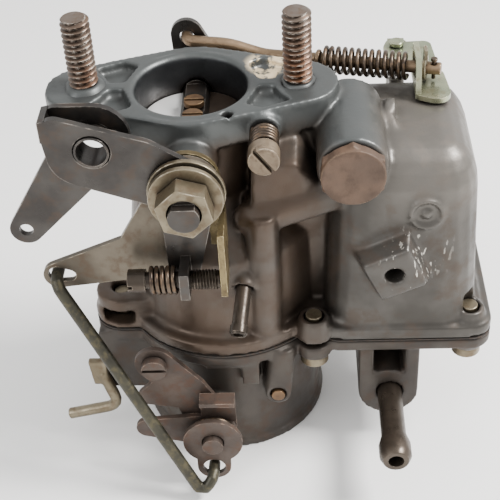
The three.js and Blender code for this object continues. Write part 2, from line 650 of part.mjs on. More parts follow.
const needleSeat = () => ringZ(INLET.x, INLET.needleY, 4.5, 2, -79.6, COVER_Z + 1.4, 16);
const needleValve = () =>
  join(
    cylZ(INLET.x, INLET.needleY, 1.6, -76, COVER_Z + 3.4, 12),
    cylZ(INLET.x, INLET.needleY, 0.4, -78, -76, 12, 1.6),
  );

function floatPiece() {
  const { x, z, r } = FLOAT_PIN;
  const box = { x0: 47, x1: 71.5, y0: -17, y1: 17 };
  return cut(
    join(
      hull(inset(box, 4).flatMap(([px, py]) => circlePoints(px, py, -63.6, 4, 12)),
        inset(box, 6).flatMap(([px, py]) => domePoints(px, py, -49, 4))),
      block(x, 50, -3.6, 3.6, -64.8, -63),
      block(48, 58, INLET.needleY - 3, INLET.needleY + 3, -66.4, -63),
      cylY(x, z, r + 1.6, -4.6, 4.6, 14),
    ),
    cylY(x, z, r + PIVOT_GAP, -8, 8, 12),
  );
}

const floatPin = () => cylY(FLOAT_PIN.x, FLOAT_PIN.z, FLOAT_PIN.r, -FLOAT_PIN.half, FLOAT_PIN.half, 12);

// ---------- choke ----------
function chokeShaft() {
  const slotT = PLATE_T + 0.4;
  const { x, z, shaftR, front, back } = CHOKE;
  return cut(
    cylY(x, z, shaftR, front, back, 20),
    block(x - slotT / 2, x + slotT / 2, AIR_Y - AIR_BORE_R, AIR_Y + AIR_BORE_R, z - 9, z + 9),
    ...CHOKE_SCREW_Y.map((y) => cylX(y, z, 1.4 + GAP, x - 9, x + 9, 12)),
  );
}

const CHOKE_SCREW_Y = [-9, 7];

function chokePlate() {
  const { x, z, plateR } = CHOKE;
  return cut(
    cylX(AIR_Y, z + AIR_X - x, plateR, x - PLATE_T / 2, x + PLATE_T / 2, 48),
    ...CHOKE_SCREW_Y.map((y) => cylX(y, z, 1.4 + GAP, x - 9, x + 9, 12)),
  );
}

function chokeScrew(y) {
  const { x, z, shaftR } = CHOKE;
  return join(
    cylX(y, z, 2.6, x - shaftR - 1.9, x - shaftR - GAP, 14),
    cylX(y, z, 1.4, x - shaftR - 1, x + 4, 12),
  );
}

const chokeHole = (y0, y1, r = CHOKE.shaftR + PIVOT_GAP) => cylY(CHOKE.x, CHOKE.z, r, y0, y1, 20);

// Two-plate choke lever: the disc with the link eye in front, the cable arm behind it.
function chokeLever() {
  const { x, z } = CHOKE;
  return cut(
    join(
      cylY(x, z, 8.6, -43.2, -41.8, 32),
      plateY(between([x, z, 5], [CHOKE_EYE.x, CHOKE_EYE.z, CHOKE_EYE.r + 1.6]), -43.2, -41.8),
      cylY(x, z, 4.6, -42, -37.2, 20),
      plateY(between([x, z, 6.6], [x - 19, z + 1.6, 3.4]), -38.6, -37.1),
      block(-1.6, 8.4, -38.6, -37.1, z + 4, z + 14.4),
      block(-1.6, 8.4, -41.6, -37.1, z + 13, z + 14.4),
    ),
    chokeHole(-50, -30),
    cylY(CHOKE_EYE.x, CHOKE_EYE.z, CHOKE_EYE.r, -50, -40, 16),
  );
}

const chokeSpring = () => ringY(CHOKE.x, CHOKE.z, 7.2, 5.2, -41.4, -39);

function cableBracket() {
  const { x, z } = CHOKE;
  const eye = [-13.5, -68.6, 5.6];
  return cut(
    join(
      plateY(between([x, z, 6.8], [-5, -79, 5.4]), -36.5, -34.9),
      plateY(between([-5, -79, 5.4], eye), -36.5, -34.9),
      plateY(belt([[-16.4, -81.5, 3], [-5.6, -84, 2.6], [-3.6, -77.6, 2.4], [-9, -74, 3]]), -36.5, -34.9),
    ),
    chokeHole(-50, -30, 4),
    cylY(eye[0], eye[1], 2.4, -50, -30, 16),
  );
}

const cableClampScrew = () =>
  cut(
    join(cylY(-13.5, -68.6, 3.5, -39.2, -36.8, 18), cylY(-13.5, -68.6, 2.1, -37, -32.6, 14)),
    block(-18, -9, -40, -38.2, -69.1, -68.1),
  );

const stayRod = () =>
  join(
    bar([[-32.4, -21.3, -86], [-28.6, -21.8, -99.8], [-44.6, -21.8, -103.6]], 1.8, 4, 20),
    hull(
      [[-36, -22.3, -81.4], [-30.6, -22.3, -81.4], [-36, -20, -81.4], [-30.6, -20, -81.4]],
      [[-35, -22.6, -90.4], [-30.4, -22.6, -90.4], [-35, -19.6, -90.4], [-30.4, -19.6, -90.4]],
    ),
  );

// ---------- accelerator pump ----------
const PUMP_FACE = 25.1;

const pumpDiaphragm = () =>
  ringY(PUMP.x, PUMP.z, PUMP.r - 0.4, 5.9, PUMP_FACE + GAP, PUMP_FACE + GAP + 0.5, 32);

function pumpCover() {
  const y0 = PUMP_FACE + 2 * GAP + 0.5;
  const { x: px, y: py, r, earR } = PUMP_PIVOT;
  return cut(
    join(
      cylY(PUMP.x, PUMP.z, PUMP.r, y0, y0 + 2.6, 32),
      cylY(PUMP.x, PUMP.z, PUMP.buttonR + 3, y0, y0 + 3.8, 20),
      block(px - 2.2, px + 2.2, y0, py, -28, -18.6),
      cylZ(px, py, earR, -28, LEVER_PLATE.bottom - GAP, 18),
    ),
    cylY(PUMP.x, PUMP.z, PUMP.boreR - 2, y0 - 1, y0 + 1.4, 24),
    cylY(PUMP.x, PUMP.z, PUMP.buttonR + GAP, y0 - 1, y0 + 6, 16),
    cylZ(px, py, r + PIVOT_GAP, -22, 0, 12),
  );
}

const pumpButton = () =>
  join(
    cylY(PUMP.x, PUMP.z, 5.5, PUMP_FACE - 0.4, PUMP_FACE + 1.8, 20),
    cylY(PUMP.x, PUMP.z, PUMP.buttonR, PUMP_FACE, LEVER_WEB.y - GAP, 16),
  );

const pumpSpring = () => ringY(PUMP.x, PUMP.z, 5, 3.8, 20.9, PUMP_FACE - 0.7, 16);

// Pump lever: a flat plate over the bowl, an eared flange that the rod passes through, and a web behind
// the pivot with the finger that pushes the button.
const LEVER_PLATE = { bottom: -10.3, top: -8.8 };
const LEVER_WEB = { y: 35.4, t: 1.4, foot: -42, fingerTop: -32 };
const ROD_EYE = { x0: 60.4, x1: 61.9, y: 13.6, halfY: 3.5, z0: -7.5, z1: -0.6 };

function pumpLever() {
  const { x: px, y: py, r } = PUMP_PIVOT;
  const { bottom, top } = LEVER_PLATE;
  const { x0, x1, y, halfY, z0, z1 } = ROD_EYE;
  const webBack = LEVER_WEB.y + LEVER_WEB.t;
  const flange = hull(
    [[x0, 5.4, bottom], [x0, 20, bottom], [x0, 8.6, 0.5], [x0, 17.6, 0.5], [x0, 6.6, -3]],
    [[x1, 5.4, bottom], [x1, 20, bottom], [x1, 8.6, 0.5], [x1, 17.6, 0.5], [x1, 6.6, -3]],
  );
  return cut(
    join(
      plateZ(belt([[px - 0.8, py - 1, 3.1], [62.2, 20, 1.8], [66, 24, 1.8], [64.8, py, 2.4]]), bottom, top),
      plateZ(between([px - 0.8, py - 1, 3.1], [px, webBack - 3.2, 3.2]), bottom, top),
      plateZ(belt([[62.4, 6.4, 2], [66.2, 6.6, 3.8], [66, 15.6, 3.2], [62.4, 21, 1.8]]), bottom, top),
      flange,
      block(px - 2.4, px + 2.4, LEVER_WEB.y, webBack, LEVER_WEB.foot, top),
      block(PUMP.x - 5.6, px + 2.4, LEVER_WEB.y, webBack, LEVER_WEB.foot, LEVER_WEB.fingerTop),
    ),
    cylZ(px, py, r + PIVOT_GAP, -12, -6, 12),
    cylX(y, (z0 + z1) / 2, (z1 - z0) / 2, x0 - 1, x1 + 1, 20),
    block(x0 - 1, x1 + 1, y - halfY, y + halfY, z0 + 0.8, z1 - 0.8),
  );
}

const pumpLeverPin = () =>
  join(
    cylZ(PUMP_PIVOT.x, PUMP_PIVOT.y, PUMP_PIVOT.r, -21.6, -7.8, 14),
    cylZ(PUMP_PIVOT.x, PUMP_PIVOT.y, 2.1, LEVER_PLATE.top + GAP, -7.2, 16),
  );

const ROD_BEND = [19, 24.6, -6]; // the rod is straight from here to its end
const ROD_END = [67.8, 11.9, -4.9];
const alongRod = (x) => {
  const t = (x - ROD_BEND[0]) / (ROD_END[0] - ROD_BEND[0]);
  return ROD_BEND.map((v, i) => v + t * (ROD_END[i] - v));
};

function pumpRod() {
  const { x, z } = ROD_HOOK;
  const hook = [[x, 31.8, z], [x, PUMP_ROD.y, z], [9, PUMP_ROD.y, z - 1.3], ROD_BEND];
  const [px, py] = alongRod(COTTER.x);
  return cut(
    join(
      bar([...hook, alongRod(24)], PUMP_ROD.r, 3, 30),
      strut(alongRod(23.4), ROD_END, PUMP_ROD.r, 12),
      strut(alongRod(33.8), alongRod(35), 2.8, 12),
    ),
    cylZ(px, py, COTTER.r + 0.2, -12, 2, 10),
  );
}

const onRod = (x0, x1, r, bore) =>
  cut(strut(alongRod(x0), alongRod(x1), r, 18), strut(alongRod(x0 - 1), alongRod(x1 + 1), bore, 12));
const pumpRodSpring = () => onRod(35.4, 59.2, 4, 2.8);
function pumpRodWasher() {
  const [x, y] = alongRod(63.4);
  const tab = block(x - 0.45, x + 0.45, y - 1.5, y + 1.5, -3.2, 1);
  const bore = strut(alongRod(62), alongRod(65), PUMP_ROD.r + GAP, 12);
  return cut(join(strut(alongRod(63), alongRod(63.9), 3.4, 18), tab), bore);
}

const COTTER = { x: 65.8, r: 0.6 };
function cotterPin() {
  const [x, y] = alongRod(COTTER.x);
  return join(cylZ(x, y, COTTER.r, -8.1, -2, 10), cylZ(x, y, COTTER.r + 0.35, -2.6, -1.8, 12));
}

// ---------- assembly ----------
const FINISH = {
  casting: { color: 0x6d6a63, metalness: 0.7, roughness: 0.55 },
  cover: { color: 0x5a5650, metalness: 0.6, roughness: 0.6 },
  steel: { color: 0x4a4743, metalness: 0.8, roughness: 0.5 },
  stud: { color: 0x6b5f52, metalness: 0.7, roughness: 0.6 },
  zinc: { color: 0x8c8468, metalness: 0.75, roughness: 0.45 },
  yellowZinc: { color: 0xa3a37a, metalness: 0.7, roughness: 0.4 },
  brass: { color: 0x7d6440, metalness: 0.8, roughness: 0.45 },
  copper: { color: 0x8a5f3c, metalness: 0.8, roughness: 0.45 },
  gasket: { color: 0x3a332b, metalness: 0, roughness: 0.9 },
  rubber: { color: 0x1f1d1b, metalness: 0, roughness: 0.9 },
  float: { color: 0x2b2a28, metalness: 0, roughness: 0.5 },
};

const carburetor = new THREE.Group();

function piece(name, geometry, finish) {
  const mesh = new THREE.Mesh(geometry, new THREE.MeshStandardMaterial(FINISH[finish]));
  mesh.name = name;
  carburetor.add(mesh);
}

piece("main_body", mainBody(), "casting");
piece("air_horn_cover", airHornCover(), "cover");
piece("cover_gasket", coverGasket(), "gasket");
COVER_SCREWS.forEach((place, i) => piece(`cover_screw_${i + 1}`, coverScrew(place), "zinc"));
piece("mount_stud_left", stud(-1), "stud");
piece("mount_stud_right", stud(1), "stud");

piece("throttle_shaft", throttleShaft(), "steel");
piece("throttle_plate", throttlePlate(), "brass");
PLATE_SCREW_Y.forEach((y, i) => piece(`throttle_plate_screw_${i + 1}`, plateScrew(y), "brass"));
piece("throttle_lever", throttleLever(), "steel");
piece("cable_bush", cableBush(), "steel");
piece("lever_disc", ringY(0, SHAFT_Z, 10, SHAFT_R + PIVOT_GAP, -33.6, -32.2, 32), "zinc");
piece("lever_washer", ringY(0, SHAFT_Z, 9.6, SHAFT_R + PIVOT_GAP, -36.3, -34.7, 32), "zinc");
piece("lever_nut", hexNut(), "zinc");
piece("rear_throttle_lever", rearThrottleLever(), "steel");
const clipY = REAR_LEVER_Y + SHEET_T + GAP;
piece("rear_clip", ringY(0, SHAFT_Z, 5.6, SHAFT_R + PIVOT_GAP, clipY, clipY + 1.2, 20), "steel");
piece("idle_screw", idleScrew(), "zinc");
piece("idle_screw_spring", ringX(IDLE.y, IDLE.z, IDLE.springR, 2.9, -12.2, -3.8), "steel");
piece("idle_stop_plate", idleStopPlate(), "zinc");
piece("fast_idle_lever", fastIdleLever(), "zinc");
piece("link_rod", linkRod(), "steel");
piece("mixture_screw", mixtureScrew(), "brass");
piece(
  "mixture_spring",
  ringY(MIXTURE.x, MIXTURE.z, MIXTURE.springR, 2.6, -24.4, MIXTURE.bossY - GAP, 16),
  "steel",
);

piece("main_jet_plug", mainJetPlug(), "brass");
piece("main_jet", mainJet(), "brass");
piece("vacuum_nipple", vacuumNipple(), "brass");
piece("venturi", venturi(), "casting");
piece("discharge_nozzle", dischargeNozzle(), "brass");
piece("emulsion_tube", emulsionTube(), "brass");
piece("bleed_plug", bleedPlug(), "brass");
piece("fuel_inlet_pipe", fuelInlet(), "casting");
piece("needle_seat", needleSeat(), "brass");
piece("needle_valve", needleValve(), "steel");
piece("float", floatPiece(), "float");
piece("float_pin", floatPin(), "steel");

piece("choke_shaft", chokeShaft(), "steel");
piece("choke_plate", chokePlate(), "brass");
CHOKE_SCREW_Y.forEach((y, i) => piece(`choke_plate_screw_${i + 1}`, chokeScrew(y), "brass"));
piece("choke_lever", chokeLever(), "steel");
piece("choke_spring", chokeSpring(), "steel");
piece("cable_bracket", cableBracket(), "steel");
piece("cable_clamp_screw", cableClampScrew(), "steel");
piece("stay_rod", stayRod(), "zinc");

piece("pump_cover", pumpCover(), "casting");
piece("pump_diaphragm", pumpDiaphragm(), "rubber");
piece("pump_button", pumpButton(), "brass");
piece("pump_spring", pumpSpring(), "steel");
piece("pump_lever", pumpLever(), "yellowZinc");
piece("pump_lever_pin", pumpLeverPin(), "yellowZinc");
piece("pump_rod", pumpRod(), "copper");
piece("pump_rod_spring", pumpRodSpring(), "steel");
piece("pump_rod_washer", pumpRodWasher(), "zinc");
piece("cotter_pin", cotterPin(), "steel");

const extent = new THREE.Box3().setFromObject(carburetor, true);
const middle = extent.getCenter(new THREE.Vector3());
carburetor.position.set(-middle.x, -middle.y, -extent.min.z);

const part = new THREE.Group();
part.add(carburetor);
export default part;
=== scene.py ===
"""A downdraft carburetor standing on its air horn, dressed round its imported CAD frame."""

import json
import math

import bmesh
import bpy
from mathutils import Matrix, Vector


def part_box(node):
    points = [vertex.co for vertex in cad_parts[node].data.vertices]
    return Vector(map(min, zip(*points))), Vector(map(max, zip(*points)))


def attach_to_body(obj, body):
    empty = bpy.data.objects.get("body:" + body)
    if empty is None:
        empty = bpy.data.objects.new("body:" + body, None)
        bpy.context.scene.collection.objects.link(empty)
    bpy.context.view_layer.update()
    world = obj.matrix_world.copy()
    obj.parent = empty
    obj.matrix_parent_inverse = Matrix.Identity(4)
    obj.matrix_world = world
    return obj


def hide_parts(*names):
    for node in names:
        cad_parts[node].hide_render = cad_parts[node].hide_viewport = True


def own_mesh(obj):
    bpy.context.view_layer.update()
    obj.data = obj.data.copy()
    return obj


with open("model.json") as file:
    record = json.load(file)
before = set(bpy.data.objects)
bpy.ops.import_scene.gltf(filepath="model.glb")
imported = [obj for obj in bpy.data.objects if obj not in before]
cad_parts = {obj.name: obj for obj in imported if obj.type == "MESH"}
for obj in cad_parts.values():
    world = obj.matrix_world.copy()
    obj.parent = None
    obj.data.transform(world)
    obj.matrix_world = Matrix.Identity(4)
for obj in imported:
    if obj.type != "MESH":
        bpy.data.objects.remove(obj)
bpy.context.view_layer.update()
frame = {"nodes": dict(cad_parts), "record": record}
MM = 0.001
NODES = frame["nodes"]
RECORD = frame["record"]
BODY_OF = {node: body for body, nodes in RECORD["behaviour"]["bodies"].items() for node in nodes}
SLOT_OF = {row["node"]: row["material_slot"] for row in RECORD["subparts"]}


def middle(node):
    low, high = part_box(node)
    return (Vector(low) + Vector(high)) / 2


# The design's own origin: on the throttle bore's axis, at the face of the mounting flange.
STUDS = ("mount_stud_left", "mount_stud_right")
ORIGIN = (middle(STUDS[0]) + middle(STUDS[1])) / 2
ORIGIN.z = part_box("main_body")[1][2]


def at(x, y, z):
    """A point given in millimetres from the design's origin, in the row frame."""
    return ORIGIN + Vector((x, y, z)) * MM


def srgb(red, green, blue):
    """A linear colour from 0-255 display values."""
    def channel(value):
        value /= 255
        return value / 12.92 if value <= 0.04045 else ((value + 0.055) / 1.055) ** 2.4
    return channel(red), channel(green), channel(blue), 1.0


# ---------- materials ----------
class Graph:
    """Short ways to add shader nodes to one material."""

    def __init__(self, name):
        self.material = bpy.data.materials.new(name)
        self.material.use_nodes = True
        self.tree = self.material.node_tree
        self.shader = self.tree.nodes["Principled BSDF"]
        self.place = self.add("ShaderNodeTexCoord").outputs["Object"]

    def add(self, kind, **settings):
        node = self.tree.nodes.new(kind)
        for key, value in settings.items():
            setattr(node, key, value)
        return node

    def feed(self, socket, value):
        if isinstance(value, bpy.types.NodeSocket):
            self.tree.links.new(value, socket)
        else:
            socket.default_value = value

    def noise(self, scale, detail=3.0, rough=0.55, stretch=(1, 1, 1), shift=(0, 0, 0)):
        mapping = self.add("ShaderNodeMapping")
        self.feed(mapping.inputs["Vector"], self.place)
        mapping.inputs["Scale"].default_value = stretch
        mapping.inputs["Location"].default_value = shift
        node = self.add("ShaderNodeTexNoise")
        self.feed(node.inputs["Vector"], mapping.outputs["Vector"])
        node.inputs["Scale"].default_value = scale
        node.inputs["Detail"].default_value = detail
        node.inputs["Roughness"].default_value = rough
        return node.outputs["Fac"]

    def ramp(self, value, low, high, out_low=0.0, out_high=1.0):
        node = self.add("ShaderNodeMapRange", interpolation_type="SMOOTHSTEP")
        self.feed(node.inputs["Value"], value)
        limits = {"From Min": low, "From Max": high, "To Min": out_low, "To Max": out_high}
        for key, number in limits.items():
            node.inputs[key].default_value = number
        return node.outputs["Result"]

    def math(self, operation, a, b=0.0):
        node = self.add("ShaderNodeMath", operation=operation, use_clamp=operation != "SUBTRACT")
        self.feed(node.inputs[0], a)
        self.feed(node.inputs[1], b)
        return node.outputs[0]

    def mix(self, amount, a, b):
        node = self.add("ShaderNodeMix", data_type="RGBA")
        self.feed(node.inputs["Factor"], amount)
        self.feed(node.inputs["A"], a)
        self.feed(node.inputs["B"], b)
        return node.outputs["Result"]

    def near(self, point, inner, outer):
        """One within inner millimetres of a point, falling to nothing at outer."""
        node = self.add("ShaderNodeVectorMath", operation="DISTANCE")
        self.feed(node.inputs[0], self.place)
        node.inputs[1].default_value = point
        return self.ramp(node.outputs["Value"], inner * MM, outer * MM, 1.0, 0.0)

    def coordinate(self, axis):
        node = self.add("ShaderNodeSeparateXYZ")
        self.feed(node.inputs[0], self.place)
        return node.outputs[axis]

    def around(self, point, inner, outer):
        """One within inner millimetres of the upright line through a point, nothing beyond outer."""
        flat = self.add("ShaderNodeVectorMath", operation="MULTIPLY")
        self.feed(flat.inputs[0], self.place)
        flat.inputs[1].default_value = (1, 1, 0)
        node = self.add("ShaderNodeVectorMath", operation="DISTANCE")
        self.feed(node.inputs[0], flat.outputs[0])
        node.inputs[1].default_value = (point[0], point[1], 0)
        return self.ramp(node.outputs["Value"], inner * MM, outer * MM, 1.0, 0.0)

    def edges(self, radius):
        """How far the surface turns away within a radius, as on an edge."""
        rounded = self.add("ShaderNodeBevel", samples=4)
        rounded.inputs["Radius"].default_value = radius * MM
        flat = self.add("ShaderNodeNewGeometry").outputs["Normal"]
        node = self.add("ShaderNodeVectorMath", operation="DOT_PRODUCT")
        self.feed(node.inputs[0], rounded.outputs[0])
        self.feed(node.inputs[1], flat)
        return self.ramp(node.outputs["Value"], 0.995, 0.90)

    def dirt_and_shade_in_crevices(self, reach):
        """Where neighbouring surfaces come within reach: a mask for dirt and painted shade in crevices."""
        node = self.add("ShaderNodeAmbientOcclusion", samples=4)
        node.inputs["Distance"].default_value = reach * MM
        return self.ramp(node.outputs["AO"], 0.35, 0.95, 1.0, 0.0)

    def bump(self, *layers):
        """Layers of (height, strength, depth in millimetres), one on another."""
        normal = None
        for height, strength, depth in layers:
            node = self.add("ShaderNodeBump")
            node.inputs["Strength"].default_value = strength
            node.inputs["Distance"].default_value = depth * MM
            self.feed(node.inputs["Height"], height)
            if normal:
                self.feed(node.inputs["Normal"], normal)
            normal = node.outputs["Normal"]
        self.feed(self.shader.inputs["Normal"], normal)


def worn_metal(name, base, tint, stain, bright, rough, metallic=0.6, patch=70.0, stains=0.5, wear=0.6,
               dirt_and_shade=0.6, grain=0.25, more=None):
    """Aged metal: two blended tones, stains in patches, dirt and painted shade in corners and bright worn
    edges.
    """
    g = Graph(name)
    blotch = g.noise(patch, 4, 0.6)
    spots = g.noise(patch * 4.2, 5, 0.62, shift=(3.1, 1.7, 5.3))
    fine = g.noise(2400, 3, 0.6)
    colour = g.mix(g.ramp(blotch, 0.36, 0.64), base, tint)
    stained = g.math("MULTIPLY", g.ramp(spots, 0.47, 0.66), stains)
    colour = g.mix(stained, colour, stain)
    if more:
        colour = more(g, colour, blotch, spots)
    # Dirt and painted shade: corners and crevices found by ambient occlusion are mixed towards dark brown.
    colour = g.mix(g.math("MULTIPLY", g.dirt_and_shade_in_crevices(3.2), dirt_and_shade), colour, srgb(30, 24, 20))
    worn = g.math("MULTIPLY", g.math("MULTIPLY", g.edges(0.4), g.ramp(spots, 0.44, 0.64)), wear)
    colour = g.mix(worn, colour, bright)
    g.feed(g.shader.inputs["Base Color"], colour)
    shine = g.math("ADD", g.ramp(spots, 0.3, 0.7, rough[0], rough[1]), g.math("MULTIPLY", stained, 0.12))
    g.feed(g.shader.inputs["Roughness"], shine)
    g.shader.inputs["Metallic"].default_value = metallic
    g.bump((spots, 0.35, 0.5 * grain), (fine, grain, 0.06))
    return g.material


FLANGE_TONE = srgb(80, 84, 84)
RUST = srgb(112, 76, 52)
CHIP = srgb(190, 186, 176)


def casting_zones(g, colour, blotch, spots):
    """The main casting's tones by place.

    Grey near the mounting flange, brown down the neck, a painted highlight on the bowl's right shoulder,
    soot and painted shade inside the throttle bore, a gilded patch on the flange and bright chips round
    the bracket boss.
    """
    height = g.coordinate("Z")
    across = g.coordinate("X")
    flange = g.ramp(height, at(0, 0, -9.5).z, at(0, 0, -3).z)
    colour = g.mix(g.math("MULTIPLY", flange, 0.75), colour, FLANGE_TONE)
    low = g.ramp(height, at(0, 0, -12).z, at(0, 0, -5).z, 1.0, 0.0)
    left = g.ramp(across, at(24, 0, 0).x, at(42, 0, 0).x, 1.0, 0.0)
    brown = g.math("MULTIPLY", g.math("MULTIPLY", low, left), g.ramp(blotch, 0.3, 0.6, 0.25, 0.8))
    colour = g.mix(brown, colour, srgb(76, 61, 49))
    # Painted highlight: the bowl's right shoulder is mixed towards a paler grey where the light catches
    # it.
    shoulder = g.ramp(height, at(0, 0, -34).z, at(0, 0, -16).z)
    right = g.ramp(across, at(44, 0, 0).x, at(56, 0, 0).x)
    painted_shoulder_highlight = g.math("MULTIPLY", g.math("MULTIPLY", shoulder, right), 0.45)
    colour = g.mix(painted_shoulder_highlight, colour, srgb(124, 119, 112))
    # Soot and painted shade: the wall inside the throttle bore is mixed towards near-black.
    bore_soot_and_shade = g.around(at(0, 0, 0), 15.2, 15.7)
    below = g.ramp(height, at(0, 0, -1.5).z, at(0, 0, -0.4).z, 1.0, 0.0)
    colour = g.mix(g.math("MULTIPLY", g.math("MULTIPLY", bore_soot_and_shade, below), 0.9), colour, srgb(34, 35, 37))
    gilt = g.math("MULTIPLY", g.near(at(20.5, 9.5, 0), 4.2, 7.5), g.ramp(spots, 0.44, 0.52))
    colour = g.mix(g.math("MULTIPLY", gilt, 0.9), colour, srgb(232, 212, 176))
    chips = g.noise(900, 2, 0.5, stretch=(1, 1, 0.35))
    scarred = g.math("MULTIPLY", g.near(at(60, -30, -40), 5, 13), g.ramp(chips, 0.62, 0.68))
    return g.mix(scarred, colour, CHIP)


def rust_low(g, colour, blotch, spots):
    """Rust that thickens towards the foot of a stud."""
    foot = g.ramp(g.coordinate("Z"), at(0, 0, 2).z, at(0, 0, 20).z, 0.85, 0.25)
    return g.mix(g.math("MULTIPLY", foot, g.ramp(blotch, 0.3, 0.6)), colour, RUST)


MATERIALS = {
    "casting": worn_metal(
        "casting_metal", base=srgb(76, 73, 69), tint=srgb(57, 54, 50),
        stain=srgb(72, 58, 47), bright=CHIP, rough=(0.34, 0.5),
        metallic=0.6, patch=38, stains=0.45, wear=0.5, dirt_and_shade=0.8, grain=0.45, more=casting_zones,
    ),
    "cover_casting": worn_metal(
        "cover_metal", base=srgb(66, 60, 54), tint=srgb(48, 43, 39),
        stain=srgb(70, 54, 43), bright=srgb(150, 142, 130), rough=(0.4, 0.58),
        metallic=0.5, patch=40, stains=0.5, wear=0.45, dirt_and_shade=0.8, grain=0.45,
    ),
    "steel": worn_metal(
        "dark_steel", base=srgb(72, 69, 66), tint=srgb(54, 51, 49),
        stain=srgb(84, 66, 52), bright=srgb(176, 170, 162), rough=(0.26, 0.42),
        metallic=0.8, patch=50, stains=0.3, wear=0.8, dirt_and_shade=0.6, grain=0.2,
    ),
    "dark_rod": worn_metal(
        "olive_rod", base=srgb(62, 60, 50), tint=srgb(48, 46, 40),
        stain=srgb(98, 90, 66), bright=srgb(140, 132, 108), rough=(0.34, 0.5),
        metallic=0.7, patch=110, stains=0.5, wear=0.5, dirt_and_shade=0.3, grain=0.2,
    ),
    "spring": worn_metal(
        "spring_steel", base=srgb(92, 80, 68), tint=srgb(58, 50, 44),
        stain=srgb(120, 92, 66), bright=srgb(190, 176, 156), rough=(0.28, 0.42),
        metallic=0.85, patch=160, stains=0.5, wear=0.6, dirt_and_shade=0.6, grain=0.15,
    ),
    "stud": worn_metal(
        "rusty_stud", base=srgb(104, 94, 85), tint=srgb(80, 71, 63),
        stain=srgb(92, 70, 52), bright=srgb(214, 206, 194), rough=(0.3, 0.5),
        metallic=0.75, patch=90, stains=0.5, wear=1.0, dirt_and_shade=0.9, grain=0.25, more=rust_low,
    ),
    "zinc": worn_metal(
        "khaki_zinc", base=srgb(132, 122, 102), tint=srgb(104, 94, 76),
        stain=srgb(92, 72, 52), bright=srgb(226, 220, 200), rough=(0.28, 0.46),
        metallic=0.75, patch=90, stains=0.5, wear=0.85, dirt_and_shade=0.65, grain=0.2,
    ),
    "yellow_zinc": worn_metal(
        "pale_zinc", base=srgb(172, 174, 146), tint=srgb(142, 150, 126),
        stain=srgb(112, 92, 62), bright=srgb(232, 230, 204), rough=(0.2, 0.36),
        metallic=0.85, patch=80, stains=0.4, wear=0.6, dirt_and_shade=0.5, grain=0.15,
    ),
    "brass": worn_metal(
        "brown_brass", base=srgb(112, 86, 60), tint=srgb(86, 66, 48),
        stain=srgb(70, 52, 40), bright=srgb(206, 176, 132), rough=(0.3, 0.5),
        metallic=0.7, patch=90, stains=0.5, wear=0.75, dirt_and_shade=0.5, grain=0.2,
    ),
    "copper_rod": worn_metal(
        "copper_brown", base=srgb(138, 116, 92), tint=srgb(110, 92, 72),
        stain=srgb(84, 66, 52), bright=srgb(214, 190, 158), rough=(0.28, 0.44),
        metallic=0.75, patch=90, stains=0.45, wear=0.5, dirt_and_shade=0.4, grain=0.15,
    ),
    "gasket": worn_metal(
        "gasket_fibre", base=srgb(44, 38, 33), tint=srgb(30, 26, 23),
        stain=srgb(70, 52, 40), bright=srgb(96, 84, 70), rough=(0.7, 0.9),
        metallic=0.0, patch=200, stains=0.5, wear=0.3, dirt_and_shade=0.3, grain=0.5,
    ),
    "rubber": worn_metal(
        "black_rubber", base=srgb(26, 25, 24), tint=srgb(34, 32, 30),
        stain=srgb(48, 42, 38), bright=srgb(70, 66, 62), rough=(0.6, 0.8),
        metallic=0.0, patch=150, stains=0.4, wear=0.2, dirt_and_shade=0.3, grain=0.3,
    ),
    "float": worn_metal(
        "float_plastic", base=srgb(30, 29, 28), tint=srgb(38, 36, 34),
        stain=srgb(60, 46, 34), bright=srgb(80, 76, 70), rough=(0.35, 0.5),
        metallic=0.0, patch=90, stains=0.4, wear=0.2, dirt_and_shade=0.3, grain=0.2,
    ),
}


def painted_plate_reflection(g, colour, blotch, spots):
    """The throttle plate's left half is painted near-white as a reflection of the light; its right half
    stays dark brown, painted shade.
    """
    # Painted reflection: the plate's left half is mixed towards near-white.
    left = g.ramp(g.coordinate("X"), at(-3, 0, 0).x, at(-1, 0, 0).x, 1.0, 0.0)
    return g.mix(g.math("MULTIPLY", left, g.ramp(blotch, 0.15, 0.3)), colour, srgb(248, 247, 244))


